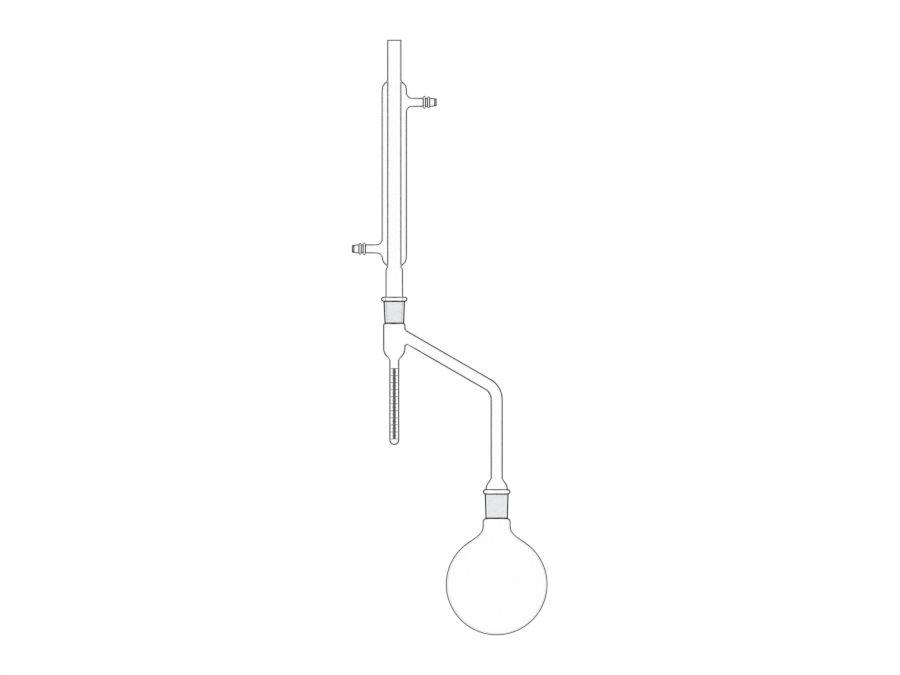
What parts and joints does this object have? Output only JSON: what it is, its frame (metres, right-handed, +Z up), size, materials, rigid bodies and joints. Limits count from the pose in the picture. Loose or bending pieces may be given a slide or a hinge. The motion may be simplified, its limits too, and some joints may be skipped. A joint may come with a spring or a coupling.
{
  "type": "dean-stark apparatus",
  "caption": "Clear glass apparatus with a round flask, a graduated receiver on a bent vapour tube and a water-jacketed condenser, joined by two ground joints.",
  "frame": {"origin": "on the flask's axis, halfway up its straight neck, where a laboratory clamp grips it", "axes": "+Z up along the flask, trap and condenser; the receiver and the condenser stand on the -X side of the flask; the scale faces -Y"},
  "size_m": [0.2642, 0.1374, 0.804],
  "materials": {
    "clear_glass": "clear fire-polished borosilicate glass",
    "ground_glass": "finely ground, frosted borosilicate glass",
    "enamel": "dark fired enamel"
  },
  "bodies": {
    "flask": {"flask_bulb": "clear_glass", "flask_neck": "clear_glass", "flask_socket": "ground_glass", "flask_rim": "clear_glass"},
    "receiver": {"receiver_cone": "ground_glass", "receiver_bell": "clear_glass", "vapour_riser": "clear_glass", "vapour_bend": "clear_glass", "vapour_arm": "clear_glass", "receiver_head": "clear_glass", "receiver_socket": "ground_glass", "receiver_rim": "clear_glass", "graduated_tube": "clear_glass", "scale_long_marks": "enamel", "scale_half_marks": "enamel", "scale_fine_marks": "enamel"},
    "condenser": {"condenser_cone": "ground_glass", "condenser_shank": "clear_glass", "condenser_tube": "clear_glass", "water_jacket": "clear_glass", "inlet_side_tube": "clear_glass", "inlet_hose_end": "clear_glass", "outlet_side_tube": "clear_glass", "outlet_hose_end": "clear_glass"}
  },
  "joints": [
    {"name": "receiver_turn", "type": "hinge", "parent": "flask", "child": "receiver", "pos_m": [0, 0, 0.0239], "axis": [0, 0, 1], "continuous": true},
    {"name": "condenser_lift", "type": "slide", "parent": "receiver", "child": "condenser", "axis": [0, 0, 1], "range_m": [0, 0.045]}
  ]
}
